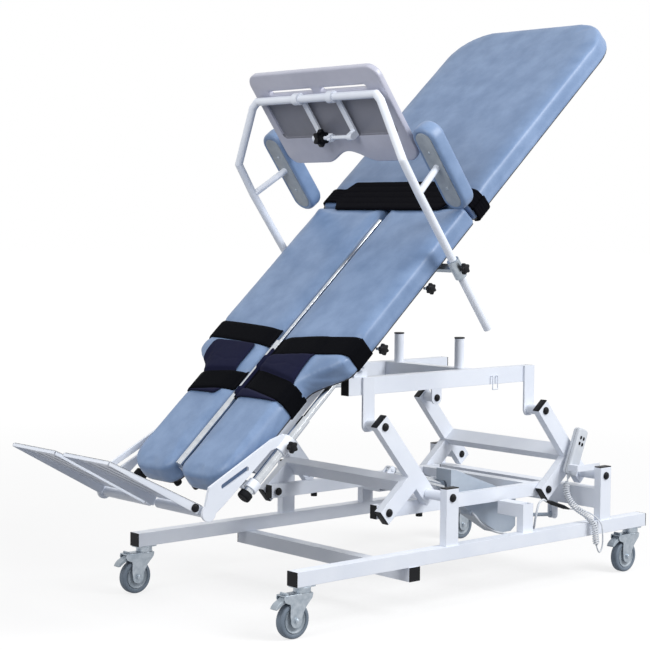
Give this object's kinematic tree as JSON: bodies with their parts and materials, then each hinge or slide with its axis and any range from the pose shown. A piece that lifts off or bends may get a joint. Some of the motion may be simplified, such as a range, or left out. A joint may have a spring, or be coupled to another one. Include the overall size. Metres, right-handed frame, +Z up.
{
  "type": "physiotherapy tilt table",
  "caption": "Electric physiotherapy tilt table on a wheeled base, with a scissor-like lift, padded top, split leg pads, foot plates, straps, arm pads and a tilting tray.",
  "frame": {"origin": "on the floor, on the middle plane, under the middle of the object's length", "axes": "+X towards the head end, +Y towards the patient's right, +Z up"},
  "size_m": [1.9809, 0.8135, 1.7453],
  "materials": {
    "white_paint": "gloss powder coat",
    "black_plastic": "moulded, satin",
    "pad_board": "painted board",
    "blue_vinyl": "fine grained vinyl",
    "black_webbing": "woven webbing",
    "navy_cloth": "brushed cloth",
    "bright_chrome": "polished",
    "zinc_grey": "zinc plated",
    "castor_nylon": "moulded",
    "grey_tread": "moulded, satin",
    "actuator_plastic": "moulded",
    "handset_plastic": "moulded",
    "cord_sheath": "extruded",
    "tray_plastic": "moulded"
  },
  "bodies": {
    "base": {"base_rails": "white_paint", "base_cross_members": "white_paint", "base_posts": "white_paint", "base_caps": "black_plastic", "lift_pivot_bolts": "black_plastic", "castor_plates": "zinc_grey", "handset": "handset_plastic", "handset_cord": "cord_sheath", "motor_cable": "cord_sheath"},
    "front_lift": {"front_crank": "white_paint", "front_crank_fittings": "black_plastic"},
    "rear_lift": {"rear_crank": "white_paint", "rear_crank_fittings": "black_plastic"},
    "link": {"link_frame": "white_paint", "link_frame_caps": "black_plastic"},
    "lift_housing": {"lift_actuator_housing": "actuator_plastic", "lift_actuator_motor": "actuator_plastic"},
    "lift_rod": {"lift_actuator_rod": "bright_chrome"},
    "upper": {"upper_frame": "white_paint", "upper_frame_caps": "black_plastic", "tilt_actuator_body": "actuator_plastic"},
    "tilt_rod": {"tilt_actuator_rod": "bright_chrome"},
    "table": {"table_frame": "white_paint", "pad_boards": "pad_board", "main_pad": "blue_vinyl", "leg_pads": "blue_vinyl", "leg_rails": "bright_chrome", "table_fittings": "black_plastic", "hip_belt": "black_webbing", "leg_straps": "black_webbing", "knee_pads": "navy_cloth", "tray_clamps": "zinc_grey"},
    "footrest": {"footrest_slide": "white_paint"},
    "plate_left": {"foot_plate_left": "white_paint"},
    "plate_right": {"foot_plate_right": "white_paint"},
    "slide_knob_left": {"slide_knob_left": "black_plastic"},
    "slide_knob_right": {"slide_knob_right": "black_plastic"},
    "tray_support": {"tray_frame": "white_paint", "arm_pads": "blue_vinyl"},
    "clamp_knob_left": {"tray_clamp_knob_left": "black_plastic"},
    "clamp_knob_right": {"tray_clamp_knob_right": "black_plastic"},
    "tray_top": {"tray": "tray_plastic", "tray_hanger": "white_paint"},
    "tray_knob": {"tray_tilt_knob": "black_plastic"},
    "fork_foot_left": {"castor_fork_foot_left": "castor_nylon"},
    "wheel_foot_left": {"castor_wheel_foot_left": "grey_tread"},
    "pedal_foot_left": {"brake_pedal_foot_left": "castor_nylon"},
    "fork_foot_right": {"castor_fork_foot_right": "castor_nylon"},
    "wheel_foot_right": {"castor_wheel_foot_right": "grey_tread"},
    "pedal_foot_right": {"brake_pedal_foot_right": "castor_nylon"},
    "fork_head_left": {"castor_fork_head_left": "castor_nylon"},
    "wheel_head_left": {"castor_wheel_head_left": "grey_tread"},
    "pedal_head_left": {"brake_pedal_head_left": "castor_nylon"},
    "fork_head_right": {"castor_fork_head_right": "castor_nylon"},
    "wheel_head_right": {"castor_wheel_head_right": "grey_tread"},
    "pedal_head_right": {"brake_pedal_head_right": "castor_nylon"},
    "button_table_up": {"button_table_up": "black_plastic"},
    "button_table_down": {"button_table_down": "black_plastic"},
    "button_tilt_up": {"button_tilt_up": "black_plastic"},
    "button_tilt_down": {"button_tilt_down": "black_plastic"}
  },
  "joints": [
    {"name": "lift", "type": "hinge", "parent": "base", "child": "front_lift", "pos_m": [0.105, 0, 0.319], "axis": [0, 1, 0], "range_deg": [-26, 13]},
    {"name": "rear_lift_turn", "type": "hinge", "parent": "base", "child": "rear_lift", "pos_m": [0.791, 0, 0.319], "axis": [0, 1, 0], "range_deg": [-26.1, 13.1]},
    {"name": "link_turn", "type": "hinge", "parent": "front_lift", "child": "link", "pos_m": [-0.05043, 0, 0.27865], "axis": [0, 1, 0], "range_deg": [-13.1, 26.1]},
    {"name": "upper_turn", "type": "hinge", "parent": "front_lift", "child": "upper", "pos_m": [-0.0692, 0, 0.5266], "axis": [0, 1, 0], "range_deg": [-13.1, 26.1]},
    {"name": "lift_housing_turn", "type": "hinge", "parent": "base", "child": "lift_housing", "pos_m": [0.791, 0, 0.168], "axis": [0, 1, 0], "range_deg": [-2, 1.1]},
    {"name": "lift_rod_turn", "type": "hinge", "parent": "front_lift", "child": "lift_rod", "pos_m": [0.06198, 0, 0.38044], "axis": [0, 1, 0], "range_deg": [-12.2, 24.3]},
    {"name": "tilt", "type": "hinge", "parent": "upper", "child": "table", "pos_m": [-0.084, 0, 0.7], "axis": [0, -1, 0], "range_deg": [-41.9, 33.1]},
    {"name": "tilt_rod_slide", "type": "slide", "parent": "upper", "child": "tilt_rod", "axis": [1, 0, 0], "range_m": [-0.064, 0.051]},
    {"name": "footrest_slide_out", "type": "slide", "parent": "table", "child": "footrest", "axis": [-0.7443, 0, -0.6678], "range_m": [-0.06, 0.08]},
    {"name": "foot_plate_left_turn", "type": "hinge", "parent": "footrest", "child": "plate_left", "pos_m": [-0.67495, 0, 0.3404], "axis": [0, 1, 0], "range_deg": [-20, 22]},
    {"name": "slide_knob_left_turn", "type": "hinge", "parent": "footrest", "child": "slide_knob_left", "pos_m": [-0.41433, -0.24, 0.49766], "axis": [0, 1, 0], "range_deg": [-180, 180]},
    {"name": "clamp_knob_left_turn", "type": "hinge", "parent": "table", "child": "clamp_knob_left", "pos_m": [0.12056, -0.365, 0.97758], "axis": [0, 1, 0], "range_deg": [-180, 180]},
    {"name": "foot_plate_right_turn", "type": "hinge", "parent": "footrest", "child": "plate_right", "pos_m": [-0.67495, 0, 0.3404], "axis": [0, 1, 0], "range_deg": [-20, 22]},
    {"name": "slide_knob_right_turn", "type": "hinge", "parent": "footrest", "child": "slide_knob_right", "pos_m": [-0.41433, 0.24, 0.49766], "axis": [0, 1, 0], "range_deg": [-180, 180]},
    {"name": "clamp_knob_right_turn", "type": "hinge", "parent": "table", "child": "clamp_knob_right", "pos_m": [0.12056, 0.365, 0.97758], "axis": [0, 1, 0], "range_deg": [-180, 180]},
    {"name": "tray_height", "type": "slide", "parent": "table", "child": "tray_support", "axis": [-0.5958, 0, 0.8032], "range_m": [0, 0.14]},
    {"name": "tray_tilt", "type": "hinge", "parent": "tray_support", "child": "tray_top", "pos_m": [-0.10625, 0, 1.466], "axis": [0, 1, 0], "range_deg": [-15, 30]},
    {"name": "tray_knob_turn", "type": "hinge", "parent": "tray_top", "child": "tray_knob", "pos_m": [-0.03064, 0.051, 1.354], "axis": [0, 1, 0], "range_deg": [-180, 180]},
    {"name": "swivel_foot_left", "type": "hinge", "parent": "base", "child": "fork_foot_left", "pos_m": [-0.451, -0.361, 0.12], "axis": [0, 0, 1], "continuous": true},
    {"name": "roll_foot_left", "type": "hinge", "parent": "fork_foot_left", "child": "wheel_foot_left", "pos_m": [-0.484, -0.361, 0.05], "axis": [0, 1, 0], "continuous": true},
    {"name": "brake_foot_left", "type": "hinge", "parent": "fork_foot_left", "child": "pedal_foot_left", "pos_m": [-0.506, -0.361, 0.1087], "axis": [0, -1, 0], "range_deg": [0, 12]},
    {"name": "swivel_foot_right", "type": "hinge", "parent": "base", "child": "fork_foot_right", "pos_m": [-0.451, 0.361, 0.12], "axis": [0, 0, 1], "continuous": true},
    {"name": "roll_foot_right", "type": "hinge", "parent": "fork_foot_right", "child": "wheel_foot_right", "pos_m": [-0.484, 0.361, 0.05], "axis": [0, 1, 0], "continuous": true},
    {"name": "brake_foot_right", "type": "hinge", "parent": "fork_foot_right", "child": "pedal_foot_right", "pos_m": [-0.506, 0.361, 0.1087], "axis": [0, -1, 0], "range_deg": [0, 12]},
    {"name": "swivel_head_left", "type": "hinge", "parent": "base", "child": "fork_head_left", "pos_m": [0.936, -0.361, 0.12], "axis": [0, 0, 1], "continuous": true},
    {"name": "roll_head_left", "type": "hinge", "parent": "fork_head_left", "child": "wheel_head_left", "pos_m": [0.903, -0.361, 0.05], "axis": [0, 1, 0], "continuous": true},
    {"name": "brake_head_left", "type": "hinge", "parent": "fork_head_left", "child": "pedal_head_left", "pos_m": [0.881, -0.361, 0.1087], "axis": [0, -1, 0], "range_deg": [0, 12]},
    {"name": "swivel_head_right", "type": "hinge", "parent": "base", "child": "fork_head_right", "pos_m": [0.936, 0.361, 0.12], "axis": [0, 0, 1], "continuous": true},
    {"name": "roll_head_right", "type": "hinge", "parent": "fork_head_right", "child": "wheel_head_right", "pos_m": [0.903, 0.361, 0.05], "axis": [0, 1, 0], "continuous": true},
    {"name": "brake_head_right", "type": "hinge", "parent": "fork_head_right", "child": "pedal_head_right", "pos_m": [0.881, 0.361, 0.1087], "axis": [0, -1, 0], "range_deg": [0, 12]},
    {"name": "press_table_up", "type": "slide", "parent": "base", "child": "button_table_up", "axis": [0, 1, 0], "range_m": [0, 0.0015], "stiffness_N_per_m": 400, "springref_m": -0.001},
    {"name": "press_table_down", "type": "slide", "parent": "base", "child": "button_table_down", "axis": [0, 1, 0], "range_m": [0, 0.0015], "stiffness_N_per_m": 400, "springref_m": -0.001},
    {"name": "press_tilt_up", "type": "slide", "parent": "base", "child": "button_tilt_up", "axis": [0, 1, 0], "range_m": [0, 0.0015], "stiffness_N_per_m": 400, "springref_m": -0.001},
    {"name": "press_tilt_down", "type": "slide", "parent": "base", "child": "button_tilt_down", "axis": [0, 1, 0], "range_m": [0, 0.0015], "stiffness_N_per_m": 400, "springref_m": -0.001}
  ],
  "couplings": [
    {"joint": "rear_lift_turn", "follows": "lift", "ratio": 1},
    {"joint": "link_turn", "follows": "lift", "ratio": -1},
    {"joint": "upper_turn", "follows": "lift", "ratio": -1},
    {"joint": "lift_housing_turn", "follows": "lift", "ratio": 0.0739},
    {"joint": "lift_rod_turn", "follows": "lift", "ratio": -0.9261},
    {"joint": "tilt_rod_slide", "follows": "tilt", "m_per_rad": 0.08595}
  ]
}
